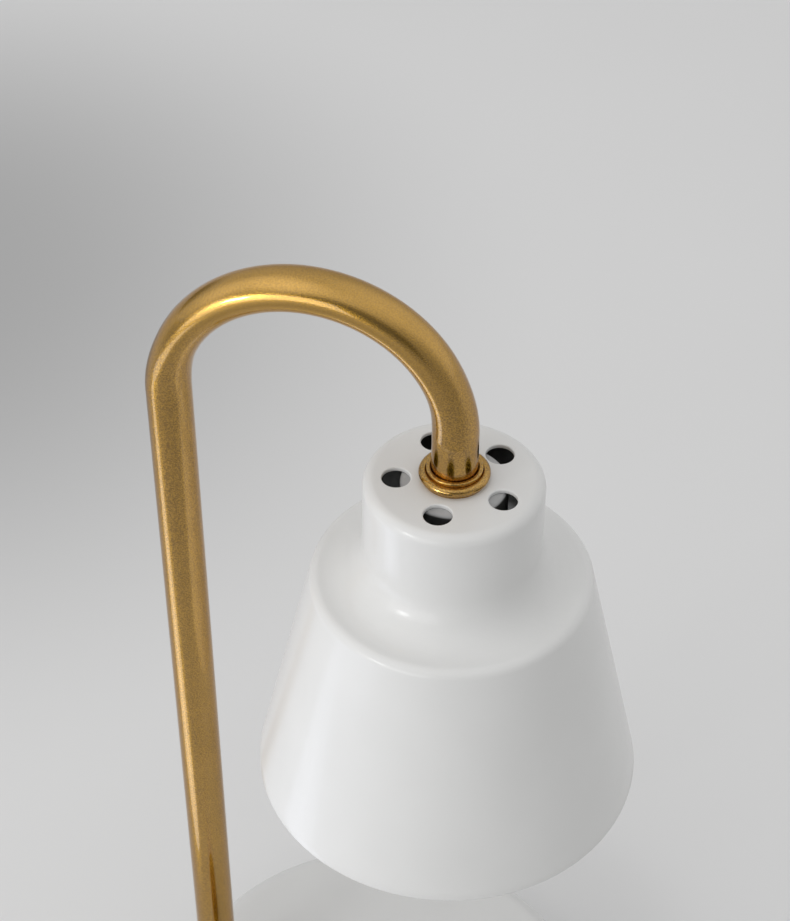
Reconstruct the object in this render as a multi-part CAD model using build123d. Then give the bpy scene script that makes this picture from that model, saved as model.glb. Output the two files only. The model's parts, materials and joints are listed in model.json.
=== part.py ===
from build123d import *
from math import atan2, cos, degrees, radians, sin
import os

os.makedirs("parts", exist_ok=True)

# Candle warmer lamp. Millimetres, +Z up, origin at the centre of the base's underside.
# The bent tube lies in the XZ plane: post on the -X side, shade hanging on the +X side.

# ---- clearances
FIT = 0.05            # located or running fit, on the radius
FREE = 0.30           # free gap between neighbouring walls
THROUGH = 1.0         # how far a cutting tool runs past the face that it cuts
SAME = 1e-3           # heights and radii this close are one

# ---- layout
BASE_D = 140.0        # round base
BASE_H = 22.0         # table to the top of the base
PLATE_Z = 264.0       # table to the flat top of the shade
REACH = 75.0          # post axis to shade axis
POST_INSET = 15.0     # post axis in from the base's edge
KNOB_INSET = 16.0     # knob axis in from the base's edge
KNOB_ANGLE = 227.0    # knob's direction from the base's centre, degrees
BLOCK_INSET = 32.0    # terminal block in from the base's rear edge

# ---- base
COVER_T = 1.5         # sheet of the cover
COVER_EDGE = 6.0      # rounding of the cover's top edge
PAD_T = 2.0           # foam pad under the base
PAD_MARGIN = 4.0      # pad's edge in from the cover's edge
HEM_RISE = 0.5        # cover's lower edge above the pad
PLATE_T = 1.5         # bottom plate
WIRE_SPACE = 5.0      # wiring space between the bottom plate and the weight
WEIGHT_EDGE = 1.0     # rounding of the weight's lower edge
BOSS_R = 6.0          # weight's bosses, which carry the bottom plate
BOSS_INSET = 20.0     # bosses in from the base's edge
BOSS_ROOT = 2.0       # bosses' roots inside the weight
BOSS_ANGLES = (0.0, 130.0, 270.0)
POCKET_WALL = 3.0     # room round what sits in a pocket
M4_R, M4_HEAD_R, M4_LEN = 2.0, 3.4, 11.0
CROSS_W, CROSS_L, CROSS_DEPTH = 0.8, 3.4, 1.0    # cross recess in a screw's head
TAP_ROOM = 1.0        # tapped hole beyond its screw's end

# ---- cord gland
INLET_R = 4.5         # hole for the gland in the cover
GLAND_LIP = 2.0       # gland's lips, beyond the hole
GLAND_LIP_T = 1.6
GLAND_EDGE = 0.6      # chamfer of its outer lip
GLAND_NECK = 0.5      # its neck beyond the cover's sheet
GLAND_BARB = 0.8      # its inner lip, less than the outer one
CORD_R = 2.9          # bore of the gland
NOTCH_DEPTH = 6.0     # notch for the gland in the bottom plate, in from the cover's edge
CHANNEL_SIDE = 2.0    # cord's channel in the weight: room at its sides and above it
CHANNEL_ROOF = 1.0

# ---- bent tube
TUBE_R = 6.0
TUBE_WALL = 1.0
DROP_RISE = 15.0      # springline of the bend above the shade's top
OVAL = 0.10           # flattening of the bend in its own plane
OVAL_RUN = 25.0       # degrees of bend over which the flattening grows
BEND_STATIONS = (0, 8, 16, 25, 45, 67, 90)       # sections of one half of the bend, degrees

# ---- threaded stems and their hardware
STEM_R = TUBE_R - TUBE_WALL - FIT
STEM_BORE = 3.5
STEM_GRIP = 12.0      # stem inside the tube's end
NUT_RIM = 2.05        # half the nut's flats beyond the stem
NUT_T = 3.2
WASHER_RIM = 3.75     # washer beyond its hole
WASHER_T = 1.0
TOOTH_RIM = 2.95
TOOTH_T = 0.8
TOOTH_COUNT = 12
TOOTH_GAP = 1.0       # gaps between the lock washer's teeth: width and depth
TOOTH_DEPTH = 1.0
STEM_PROUD = 2.0      # stem standing out of the shade's nut
FOOT_PROUD = 0.8      # and out of the foot nut
BUSH_WALL = 0.8
BUSH_LIP = 1.0
BUSH_DEPTH = 5.0
FLANGE_RIM = 7.0      # round flange at the post's foot, beyond the tube
FLANGE_T = 5.0
FLANGE_EDGE = 2.0
FLANGE_SEAT = 1.5
COLLAR_RIM = 2.6      # beaded collar on the shade's top, beyond its recess
COLLAR_T = 3.2
COLLAR_EDGE = 1.4
COLLAR_LIP = 0.4      # rounding of its recess's mouth
COLLAR_SEAT = 0.8
COLLAR_GAP = 0.6      # recess round the tube in the collar

# ---- shade
SHADE_T = 1.2
CROWN_R = 23.5        # neck of the shade
CROWN_EDGE = 3.0
NECK_DROP = 21.5      # flat top down to the start of the cove
COVE_R = 11.5
SHOULDER_EDGE = 3.0
MOUTH_R = 53.5        # rim of the shade
SHADE_H = 104.0
RIM_BEAD = 1.1        # radius of the hem rolled inwards at the mouth
VENT_COUNT = 5
VENT_R = 3.7
VENT_PHASE = 194.0

# ---- lampholder
CUP_R = 14.0
CUP_T = 0.8
CUP_H = 24.0
CUP_EDGE = 1.2        # rounding of the cup's top edge
HOLDER_DROP = 14.0    # flat top of the shade down to the ceramic's top
HOLDER_H = 17.0
HOLDER_EDGE = 1.0
PIN_PCR = 5.0
PIN_NECK_R, PIN_NECK_H = 1.6, 4.5
PIN_HEAD_R, PIN_HEAD_H = 2.5, 3.0
PIN_EDGE = 0.8
PIN_ROOT = 5.0        # pin's neck inside the bulb's base
PIN_GAP = 0.35        # pins' clearance in the holder's tracks
TWIST = 25.0          # bayonet turn, degrees
TRACK_STARTS = (90.0, 270.0)
LIP_T = 3.6           # ceramic under the pins' heads
CAVITY_H = 5.0
CLIP_W, CLIP_D, CLIP_T = 3.6, 3.0, 0.4
M3_R, M3_HEAD_R, M3_HEAD_T = 1.5, 2.7, 1.8
M3_LEN = 5.5          # depth of the ceramic's tapped holes
M3_ROOM = 0.5         # hole left beyond the screw's end
HEAD_GAP = 0.1        # screw's head off the cup's round wall
SLOT_W, SLOT_DEPTH = 0.7, 0.6
HOLDER_SCREW_DROP = 20.0

# ---- bulb
BULB_GAP = 0.5        # ceramic face to the bulb's shoulder
BULB_BASE_R = 11.5
BULB_BASE_H = 15.0
BULB_BASE_EDGE = 1.0
BULB_R = 25.0
BULB_H = 47.0         # shoulder to front glass
BULB_WALL = 1.5
BULB_RIM = 3.0        # straight rim of the reflector, at its mouth
BULB_SKIRT = 6.0      # reflector's skirt round the base
FLARE_TOP, FLARE_LOW = 0.25, 0.35                # slope of the reflector's curve at its ends
THROAT_GAP = 1.0      # reflector's throat round the capsule
LENS_T = 1.6
LENS_SINK = 0.2       # front glass up from the rim
CAPSULE_R = 4.5
CAPSULE_WALL = 0.8
CAPSULE_H = 18.0
CAPSULE_GAP = 1.0     # capsule's top below the base
CAPSULE_TIP = 0.5     # flat left at the rounded tip, on the radius
PINCH_H = 5.0         # solid pinched end of the capsule
FILAMENT_R = 0.3
FILAMENT_HALF = 1.6
FILAMENT_BEND = 0.8
FILAMENT_ROOT = 2.5   # filament's legs inside the base
FILAMENT_ROOM = 0.5   # hole left above them

# ---- dimmer
DIMMER_W = 18.0
DIMMER_EDGE = 1.0
DIMMER_BUSH_R = 3.5
DIMMER_BUSH_H = 4.0   # bush above the cover
SHAFT_R = 3.0
SHAFT_H = 14.0        # shaft above the cover
FLAT_DEPTH = 0.75     # flat on the shaft, in from its surface
FLAT_RISE = 1.0       # flat's lower end above the bush
ROTOR_R, ROTOR_T = 6.0, 1.5
ROTOR_RISE = 2.0      # rotor above the dimmer's floor
TAB_T, TAB_W, TAB_H = 0.5, 2.0, 3.0
TAB_PITCH = 5.0
PANEL_AF = 10.0
PANEL_NUT_T = 2.0
PANEL_WASHER_R = 6.0
PANEL_WASHER_T = 0.5

# ---- knob
KNOB_R = 10.0
KNOB_H = 15.0
KNOB_GAP = 0.8        # knob's lower edge above the cover
KNOB_EDGE = 1.0
KNOB_FLUTES = 30
FLUTE_R = 0.6
FLUTE_OUT = 0.2       # flutes' centres beyond the knob's surface
FLUTE_END = 2.0       # plain band above and below the flutes
HOLLOW_RIM = 1.0      # knob's hollow round the panel washer
HOLLOW_ROOM = 0.8     # and over the bush's end
MARK_W, MARK_DEPTH = 0.9, 0.5                    # pointer groove on top
MARK_START = 2.0      # its inner end, from the axis
GRUB_RISE = 1.0       # grub screw above the middle of the shaft's free length
GRUB_SINK = 1.5       # its outer end below the knob's surface
GRUB_AF, GRUB_SOCKET = 1.5, 1.5                  # its hexagon socket: flats and depth

# ---- terminal block and wiring
BLOCK_W, BLOCK_D, BLOCK_H = 24.0, 14.0, 11.0
WAY_PITCH = 12.0
WAY_R = 2.2           # brass insert
WAY_BORE = 1.5
WAY_SINK = 1.0        # insert's ends inside the housing
CLAMP_PITCH = 7.0     # two clamp screws of a way
CLAMP_SINK = 1.0      # clamp screws below the housing's top
CLAMP_SLOT_W, CLAMP_SLOT_DEPTH = 0.5, 0.8
FIXING_LEN = 5.0      # fixing screw inside the block
FIXING_HEAD_T = 0.7
FIXING_SLOT_W, FIXING_SLOT_L, FIXING_SLOT_DEPTH = 0.6, 3.0, 0.4
LEAD_R = 0.95
LEAD_HALF = 1.25      # half the spacing of the two leads in the tube
LEAD_BEND = 1.4       # bend of a lead, on its centre line
LEAD_GRIP = 3.0       # lead inside the terminal block, and straight in front of it
RUN_SLOPE = 4.0       # a lead's fall from a terminal to the wiring space, along its run
POST_RUN = 8.0        # a lead's level run up to the post's axis
SPLAY_DROP = 0.5      # the leads part this far below the shade's bush
BLOCK_ROOM = 8.0      # room for leads in front of the terminal block

# ---- derived positions
POST_X = POST_INSET - BASE_D / 2
SHADE_X = POST_X + REACH
BEND_R = REACH / 2
BEND_X = POST_X + BEND_R
SPRING_Z = PLATE_Z + DROP_RISE
KNOB_PCR = BASE_D / 2 - KNOB_INSET
KNOB_X, KNOB_Y = KNOB_PCR * cos(radians(KNOB_ANGLE)), KNOB_PCR * sin(radians(KNOB_ANGLE))
KNOB_FRAME = Pos(KNOB_X, KNOB_Y, 0) * Rot(0, 0, KNOB_ANGLE)
BLOCK_Y = BASE_D / 2 - BLOCK_INSET
HEM_Z = PAD_T + HEM_RISE
PLATE_TOP = PAD_T + PLATE_T
ROOF_Z = BASE_H - COVER_T
WEIGHT_Z = PLATE_TOP + WIRE_SPACE
WEIGHT_R = BASE_D / 2 - COVER_EDGE - FREE
WIRE_Z = PLATE_TOP + WIRE_SPACE / 2
BOSS_PCR = BASE_D / 2 - BOSS_INSET
BOSSES = [(BOSS_PCR * cos(radians(a)), BOSS_PCR * sin(radians(a))) for a in BOSS_ANGLES]
INLET_Z = (HEM_Z + BASE_H - COVER_EDGE) / 2
CHANNEL_TOP = INLET_Z + CORD_R + CHANNEL_ROOF
HOLE_R = STEM_R + FREE
NUT_AF = 2 * (STEM_R + NUT_RIM)
WASHER_R = HOLE_R + WASHER_RIM
TOOTH_R = HOLE_R + TOOTH_RIM
FOOT_END = WEIGHT_Z + BUSH_LIP
FOOT_NUT_Z = FOOT_END + FOOT_PROUD
FOOT_WASHER_Z = FOOT_NUT_Z + NUT_T
POCKET_Z = FOOT_WASHER_Z + WASHER_T
FLANGE_R = TUBE_R + FLANGE_RIM
FLANGE_TOP = BASE_H + FLANGE_T
TUBE_FOOT = BASE_H + FLANGE_SEAT
TUBE_TOP_END = PLATE_Z + COLLAR_SEAT
COLLAR_RECESS_R = TUBE_R + COLLAR_GAP
COLLAR_R = COLLAR_RECESS_R + COLLAR_RIM
COLLAR_TOP = PLATE_Z + COLLAR_T
VENT_PCR = (COLLAR_R + CROWN_R - CROWN_EDGE) / 2
RIM_Z = PLATE_Z - SHADE_H
COVE_Z = PLATE_Z - NECK_DROP
SHOULDER_R = CROWN_R + COVE_R
SHOULDER_Z = COVE_Z - COVE_R
CUP_TOP = PLATE_Z - SHADE_T
CUP_LOW = CUP_TOP - CUP_H
TOOTH_Z = CUP_TOP - CUP_T - TOOTH_T
SHADE_NUT_Z = TOOTH_Z - NUT_T
TOP_END = SHADE_NUT_Z - STEM_PROUD
CERAMIC_R = CUP_R - CUP_T - FREE
CERAMIC_TOP = PLATE_Z - HOLDER_DROP
CERAMIC_LOW = CERAMIC_TOP - HOLDER_H
TRACK_Z = CERAMIC_LOW + LIP_T
TRACK_TOP = TRACK_Z + CAVITY_H
HOLDER_SCREW_Z = PLATE_Z - HOLDER_SCREW_DROP
BULB_TOP = CERAMIC_LOW - BULB_GAP
BULB_LOW = BULB_TOP - BULB_H
STUB_LOW = BULB_TOP - BULB_BASE_H
DIMMER_Z = WEIGHT_Z + TAB_H
BUSH_TOP = BASE_H + DIMMER_BUSH_H
SHAFT_TOP = BASE_H + SHAFT_H
ROTOR_FLOOR = DIMMER_Z + ROTOR_RISE
WAY_Z = PLATE_TOP + BLOCK_H / 2
BLOCK_TOP = PLATE_TOP + BLOCK_H


# ---------------------------------------------------------------- shapes used more than once
def disc(r, z0, z1, x=0.0, y=0.0):
    return Pos(x, y, z0) * extrude(Circle(r), z1 - z0)


def ring(r_out, r_in, z0, z1, x=0.0, y=0.0):
    return Pos(x, y, z0) * extrude(Circle(r_out) - Circle(r_in), z1 - z0)


def block(w, d, z0, z1, x=0.0, y=0.0):
    return Pos(x, y, z0) * extrude(Rectangle(w, d), z1 - z0)


def hex_nut(flats, r_in, z0, z1, x=0.0, y=0.0):
    outline = RegularPolygon(flats / 2, 6, major_radius=False) - Circle(r_in)
    return Pos(x, y, z0) * extrude(outline, z1 - z0)


def turned(points, x=0.0, y=0.0):
    """Solid of revolution about the vertical through x, y from (radius, height) points."""
    face = make_face(Polyline(*[(r, 0, z) for r, z in points], close=True))
    return Pos(x, y, 0) * revolve(face, Axis.Z, 360)


def level(outline, z, start, end):
    """Bar along +Z from start to end, which radial() lays down at height z."""
    return Pos(-z, 0, start) * extrude(outline, end - start)


def radial(solid, angle, x=0.0, y=0.0):
    """Lay a solid made along +Z down along the horizontal direction given by the angle."""
    return Pos(x, y, 0) * Rot(0, 0, angle) * Rot(0, 90, 0) * solid


def wire(points, r, bend):
    """Round wire along a polyline, with its corners bent to a radius."""
    line = FilletPolyline(*points, radius=bend)
    return sweep(Plane(origin=line @ 0, z_dir=line % 0) * Circle(r), path=line)


def edges_at(solid, z, r=None):
    """Circular edges at one height, of one radius where it is given."""
    found = [e for e in solid.edges() if e.geom_type == GeomType.CIRCLE]
    found = [e for e in found if abs(e.center().Z - z) < SAME]
    return [e for e in found if r is None or abs(e.radius - r) < SAME]


def rounded_disc(r, z0, z1, edge, x=0.0, y=0.0):
    """Disc with its upper edge rounded."""
    solid = disc(r, z0, z1, x, y)
    return fillet(edges_at(solid, z1), edge)


# ---------------------------------------------------------------- base
def base_cover():
    cover = rounded_disc(BASE_D / 2, HEM_Z, BASE_H, COVER_EDGE)
    cover -= rounded_disc(BASE_D / 2 - COVER_T, HEM_Z - THROUGH, ROOF_Z, COVER_EDGE - COVER_T)
    cover -= disc(HOLE_R, 0, BASE_H + THROUGH, POST_X)
    cover -= disc(DIMMER_BUSH_R + FREE, 0, BASE_H + THROUGH, KNOB_X, KNOB_Y)
    inlet = level(Circle(INLET_R), INLET_Z, BASE_D / 2 - 2 * COVER_T, BASE_D / 2 + THROUGH)
    return cover - radial(inlet, 90)


def base_weight():
    """Cast disc with pockets for the foot nut, the dimmer, the terminal block and the cord."""
    weight = disc(WEIGHT_R, WEIGHT_Z, ROOF_Z)
    weight = fillet(edges_at(weight, WEIGHT_Z), WEIGHT_EDGE)
    for x, y in BOSSES:
        weight += disc(BOSS_R, PLATE_TOP, WEIGHT_Z + BOSS_ROOT, x, y)
        weight -= disc(M4_R, PLATE_TOP - THROUGH, PAD_T + M4_LEN + TAP_ROOM, x, y)
    weight -= disc(HOLE_R, 0, BASE_H, POST_X)
    weight -= disc(WASHER_R + POCKET_WALL, 0, POCKET_Z, POST_X)
    dimmer_side = DIMMER_W + 2 * POCKET_WALL
    weight -= KNOB_FRAME * block(dimmer_side, dimmer_side, 0, BASE_H)
    block_side = BLOCK_D + 2 * POCKET_WALL + BLOCK_ROOM
    weight -= block(BLOCK_W + 2 * POCKET_WALL, block_side, 0, BASE_H, 0, BLOCK_Y - BLOCK_ROOM / 2)
    channel_w = 2 * (CORD_R + CHANNEL_SIDE)
    return weight - block(channel_w, BASE_D, 0, CHANNEL_TOP, 0, BLOCK_Y + BASE_D / 2)


def bottom_plate():
    plate = disc(BASE_D / 2 - COVER_T - FREE, PAD_T, PLATE_TOP)
    sink = M4_HEAD_R - M4_R
    seat = [(0, PAD_T), (M4_HEAD_R, PAD_T), (M4_R, PAD_T + sink), (M4_R, PLATE_TOP), (0, PLATE_TOP)]
    for x, y in BOSSES:
        plate -= turned(seat, x, y)
    plate -= block(2 * (INLET_R + GLAND_LIP + FREE), 2 * NOTCH_DEPTH, 0, BASE_H, 0, BASE_D / 2)
    plate -= disc(M3_R + FIT, PAD_T - THROUGH, PLATE_TOP + THROUGH, 0, BLOCK_Y)
    return plate - disc(M3_HEAD_R, PAD_T - THROUGH, PAD_T + FIXING_HEAD_T, 0, BLOCK_Y)


def bottom_screws():
    """Countersunk screws with a cross recess, one in each boss."""
    sink, r = M4_HEAD_R - M4_R, M4_R - FIT
    outline = [(0, PAD_T), (M4_HEAD_R - FIT, PAD_T), (r, PAD_T + sink), (r, PAD_T + M4_LEN), (0, PAD_T + M4_LEN)]
    cross = block(CROSS_W, CROSS_L, 0, CROSS_DEPTH) + block(CROSS_L, CROSS_W, 0, CROSS_DEPTH)
    return Compound([turned(outline, x, y) - Pos(x, y, PAD_T) * cross for x, y in BOSSES])


def base_pad():
    return disc(BASE_D / 2 - PAD_MARGIN, 0, PAD_T)


def cord_gland():
    """Snap-in gland in the rear of the cover, turned about the inlet's axis."""
    lip_r = INLET_R + GLAND_LIP
    y_out, y_in = BASE_D / 2 + FIT, BASE_D / 2 - COVER_T - GLAND_NECK
    y_face, y_end = y_out + GLAND_LIP_T, y_in - GLAND_LIP_T
    outline = [(CORD_R, y_face), (lip_r - GLAND_EDGE, y_face), (lip_r, y_face - GLAND_EDGE), (lip_r, y_out)]
    outline += [(INLET_R - FIT, y_out), (INLET_R - FIT, y_in), (lip_r - GLAND_BARB, y_in)]
    outline += [(INLET_R, y_end), (CORD_R, y_end)]
    return radial(Pos(-INLET_Z, 0, 0) * turned(outline), 90)


# ---------------------------------------------------------------- dimmer
def dimmer_body():
    body = block(DIMMER_W, DIMMER_W, DIMMER_Z, ROOF_Z)
    body = chamfer(body.edges().filter_by(Axis.Z), DIMMER_EDGE)
    body -= disc(ROTOR_R + FREE, ROTOR_FLOOR, ROTOR_FLOOR + ROTOR_T + 2 * FREE)
    return KNOB_FRAME * (body - disc(SHAFT_R + FIT, ROTOR_FLOOR, ROOF_Z))


def dimmer_tabs():
    tabs = [block(TAB_T, TAB_W, WEIGHT_Z, DIMMER_Z, i * TAB_PITCH) for i in (-1, 0, 1)]
    return Compound([KNOB_FRAME * tab for tab in tabs])


def dimmer_bush():
    return ring(DIMMER_BUSH_R, SHAFT_R + FIT, ROOF_Z, BUSH_TOP, KNOB_X, KNOB_Y)


def dimmer_washer():
    return ring(PANEL_WASHER_R, DIMMER_BUSH_R + FREE, BASE_H, BASE_H + PANEL_WASHER_T, KNOB_X, KNOB_Y)


def dimmer_nut():
    low = BASE_H + PANEL_WASHER_T
    return hex_nut(PANEL_AF, DIMMER_BUSH_R + FIT, low, low + PANEL_NUT_T, KNOB_X, KNOB_Y)


def dimmer_shaft():
    """Shaft with its rotor disc, and a flat for the knob's grub screw."""
    low = ROTOR_FLOOR + FREE
    shaft = disc(SHAFT_R, low, SHAFT_TOP) + disc(ROTOR_R, low, low + ROTOR_T)
    flat_x = SHAFT_R - FLAT_DEPTH
    flat = block(SHAFT_R, 4 * SHAFT_R, BUSH_TOP + FLAT_RISE, SHAFT_TOP + THROUGH, flat_x + SHAFT_R / 2)
    return KNOB_FRAME * (shaft - flat)


GRUB_Z = (BUSH_TOP + SHAFT_TOP) / 2 + GRUB_RISE
GRUB_START = SHAFT_R - FLAT_DEPTH + FREE


def knob():
    low = BASE_H + KNOB_GAP
    top = low + KNOB_H
    body = rounded_disc(KNOB_R, low, top, KNOB_EDGE)
    flute = disc(FLUTE_R, low + FLUTE_END, top - FLUTE_END, KNOB_R + FLUTE_OUT)
    for i in range(KNOB_FLUTES):
        body -= Rot(0, 0, 360 * i / KNOB_FLUTES) * flute
    body -= disc(PANEL_WASHER_R + HOLLOW_RIM, low, BUSH_TOP + HOLLOW_ROOM)
    body -= disc(SHAFT_R + FIT, low, SHAFT_TOP + FREE)
    mark_end = KNOB_R - KNOB_EDGE
    mark_x = -(MARK_START + mark_end) / 2
    body -= block(mark_end - MARK_START, MARK_W, top - MARK_DEPTH, top + THROUGH, mark_x)
    return KNOB_FRAME * (body - radial(level(Circle(M3_R), GRUB_Z, GRUB_START, KNOB_R + THROUGH), 0))


def knob_screw():
    end = KNOB_R - GRUB_SINK
    grub = level(Circle(M3_R - FIT), GRUB_Z, GRUB_START, end)
    socket = RegularPolygon(GRUB_AF / 2, 6, major_radius=False)
    grub -= level(socket, GRUB_Z, end - GRUB_SOCKET, end + THROUGH)
    return KNOB_FRAME * radial(grub, 0)


# ---------------------------------------------------------------- terminal block
WAYS = [side * WAY_PITCH / 2 for side in (-1, 1)]
CLAMPS = [BLOCK_Y + end * CLAMP_PITCH / 2 for end in (-1, 1)]


def terminal_block():
    housing = block(BLOCK_W, BLOCK_D, PLATE_TOP, BLOCK_TOP, 0, BLOCK_Y)
    bore = level(Circle(WAY_R + FIT), WAY_Z, -BLOCK_D, BLOCK_D)
    for x in WAYS:
        housing -= radial(bore, 90, x, BLOCK_Y)
        for y in CLAMPS:
            housing -= disc(M3_R + FREE, WAY_Z, BLOCK_TOP + THROUGH, x, y)
    return housing - disc(M3_R, PLATE_TOP - THROUGH, PLATE_TOP + FIXING_LEN + TAP_ROOM, 0, BLOCK_Y)


def terminal_inserts():
    half = BLOCK_D / 2 - WAY_SINK
    made = []
    for x in WAYS:
        insert = radial(level(Circle(WAY_R) - Circle(WAY_BORE), WAY_Z, -half, half), 90, x, BLOCK_Y)
        for y in CLAMPS:
            insert -= disc(M3_R, WAY_Z, WAY_Z + WAY_R + THROUGH, x, y)
        made.append(insert)
    return Compound(made)


def terminal_screws():
    low, top = WAY_Z + LEAD_R + FIT, BLOCK_TOP - CLAMP_SINK
    clamp = disc(M3_R - FIT, low, top)
    clamp -= block(CLAMP_SLOT_W, 4 * M3_R, top - CLAMP_SLOT_DEPTH, top + THROUGH)
    return Compound([Pos(x, y, 0) * clamp for x in WAYS for y in CLAMPS])


def terminal_fixing_screw():
    screw = disc(M3_R - FIT, PAD_T, PLATE_TOP + FIXING_LEN)
    screw += disc(M3_HEAD_R - FIT, PAD_T, PAD_T + FIXING_HEAD_T)
    slot = block(FIXING_SLOT_W, FIXING_SLOT_L, PAD_T, PAD_T + FIXING_SLOT_DEPTH)
    return Pos(0, BLOCK_Y, 0) * (screw - slot)


# ---------------------------------------------------------------- bent tube
def oval_section(angle, r):
    """Section of the bend at an angle from the post's springline, flattened in its plane."""
    t = min(1.0, sin(radians(angle)) / sin(radians(OVAL_RUN)))
    grow = OVAL * t * t * (3 - 2 * t)
    c, s = cos(radians(180 - angle)), sin(radians(180 - angle))
    at = Plane(origin=(BEND_X + BEND_R * c, 0, SPRING_Z + BEND_R * s), x_dir=(0, 1, 0), z_dir=(s, 0, -c))
    return at * (Circle(r) if grow < SAME else Ellipse(r * (1 + grow), r * (1 - grow)))


def bent_bar(r, low, drop_end):
    stations = list(BEND_STATIONS) + [180 - a for a in BEND_STATIONS[-2::-1]]
    bend = loft([oval_section(a, r) for a in stations])
    return bend + disc(r, low, SPRING_Z, POST_X) + disc(r, drop_end, SPRING_Z, SHADE_X)


def bent_tube():
    bore = bent_bar(TUBE_R - TUBE_WALL, TUBE_FOOT - THROUGH, TUBE_TOP_END - THROUGH)
    return bent_bar(TUBE_R, TUBE_FOOT, TUBE_TOP_END) - bore


def stem_bush(end, x):
    """Plastic bush in a stem's lower mouth, with its lip outside."""
    bore = STEM_BORE - BUSH_WALL
    return ring(STEM_R - FREE, bore, end - BUSH_LIP, end, x) + ring(STEM_BORE - FIT, bore, end, end + BUSH_DEPTH, x)


# ---------------------------------------------------------------- post's foot
def foot_flange():
    flange = ring(FLANGE_R, TUBE_R + FIT, BASE_H, FLANGE_TOP, POST_X)
    flange += ring(FLANGE_R, HOLE_R, BASE_H, TUBE_FOOT, POST_X)
    return fillet(edges_at(flange, FLANGE_TOP, FLANGE_R), FLANGE_EDGE)


def foot_stem():
    return ring(STEM_R, STEM_BORE, FOOT_END, TUBE_FOOT + STEM_GRIP, POST_X)


def foot_washer():
    return ring(WASHER_R, HOLE_R, FOOT_WASHER_Z, POCKET_Z, POST_X)


def foot_nut():
    return hex_nut(NUT_AF, STEM_R + FIT, FOOT_NUT_Z, FOOT_WASHER_Z, POST_X)


def foot_bush():
    return stem_bush(FOOT_END, POST_X)


# ---------------------------------------------------------------- hanging end
def shade_collar():
    collar = disc(COLLAR_R, PLATE_Z, COLLAR_TOP, SHADE_X)
    collar -= disc(COLLAR_RECESS_R, TUBE_TOP_END, COLLAR_TOP + THROUGH, SHADE_X)
    collar -= disc(HOLE_R, PLATE_Z - THROUGH, COLLAR_TOP, SHADE_X)
    collar = fillet(edges_at(collar, COLLAR_TOP, COLLAR_R), COLLAR_EDGE)
    return fillet(edges_at(collar, COLLAR_TOP, COLLAR_RECESS_R), COLLAR_LIP)


def shade_stem():
    return ring(STEM_R, STEM_BORE, TOP_END, TUBE_TOP_END + STEM_GRIP, SHADE_X)


def lock_washer():
    """Toothed washer under the holder cup's top."""
    washer = ring(TOOTH_R, HOLE_R, TOOTH_Z, TOOTH_Z + TOOTH_T)
    gap = block(2 * TOOTH_DEPTH, TOOTH_GAP, TOOTH_Z - THROUGH, TOOTH_Z + TOOTH_T + THROUGH, TOOTH_R)
    for i in range(TOOTH_COUNT):
        washer -= Rot(0, 0, 360 * i / TOOTH_COUNT) * gap
    return Pos(SHADE_X, 0, 0) * washer


def shade_nut():
    return hex_nut(NUT_AF, STEM_R + FIT, SHADE_NUT_Z, TOOTH_Z, SHADE_X)


def shade_bush():
    return stem_bush(TOP_END, SHADE_X)


# ---------------------------------------------------------------- shade
def cone_angle():
    """Angle of the cone's outward normal above the horizontal, with the cone tangent to the shoulder."""
    angle = atan2(MOUTH_R - SHOULDER_R, SHOULDER_Z - SHOULDER_EDGE - RIM_Z)
    for _ in range(8):
        edge_r = SHOULDER_R + SHOULDER_EDGE * cos(angle)
        edge_z = SHOULDER_Z - SHOULDER_EDGE + SHOULDER_EDGE * sin(angle)
        angle = atan2(MOUTH_R - edge_r, edge_z - RIM_Z)
    return angle


def shade_wall(t):
    """Profile of the shade's wall, t inside its outer surface, as joined edges and its last point."""
    edges, at = [], (0, 0, PLATE_Z - t)
    cone = cone_angle()

    def line_to(point):
        edges.append(Line(at, point))
        return point

    def arc_to(centre_r, centre_z, r, start, end):
        mid, last = [(centre_r + r * cos(radians(a)), 0, centre_z + r * sin(radians(a)))
                     for a in ((start + end) / 2, end)]
        edges.append(ThreePointArc(at, mid, last))
        return last

    at = line_to((CROWN_R - CROWN_EDGE, 0, PLATE_Z - t))
    at = arc_to(CROWN_R - CROWN_EDGE, PLATE_Z - CROWN_EDGE, CROWN_EDGE - t, 90, 0)
    at = line_to((CROWN_R - t, 0, COVE_Z))
    at = arc_to(SHOULDER_R, COVE_Z, COVE_R + t, 180, 270)
    at = arc_to(SHOULDER_R, SHOULDER_Z - SHOULDER_EDGE, SHOULDER_EDGE - t, 90, degrees(cone))
    return edges, line_to((MOUTH_R - t * cos(cone), 0, RIM_Z - t * sin(cone)))


def shade():
    """Pressed shell with a rolled hem, a hole for the stem and a ring of vents in its flat top."""
    outer_edges, outer_end = shade_wall(0)
    inner_edges, inner_end = shade_wall(SHADE_T)
    axis_line = Line((0, 0, PLATE_Z), (0, 0, PLATE_Z - SHADE_T))
    shell = revolve(make_face(outer_edges + [Line(outer_end, inner_end)] + inner_edges + [axis_line]), Axis.Z, 360)
    bead_at = Plane(origin=(MOUTH_R - RIM_BEAD, 0, RIM_Z), x_dir=(1, 0, 0), z_dir=(0, -1, 0))
    shell += revolve(bead_at * Circle(RIM_BEAD), Axis.Z, 360)
    low, high = PLATE_Z - SHADE_T - THROUGH, PLATE_Z + THROUGH
    shell -= disc(HOLE_R, low, high)
    for i in range(VENT_COUNT):
        shell -= Rot(0, 0, VENT_PHASE + 360 * i / VENT_COUNT) * disc(VENT_R, low, high, VENT_PCR)
    return Pos(SHADE_X, 0, 0) * shell


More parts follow.
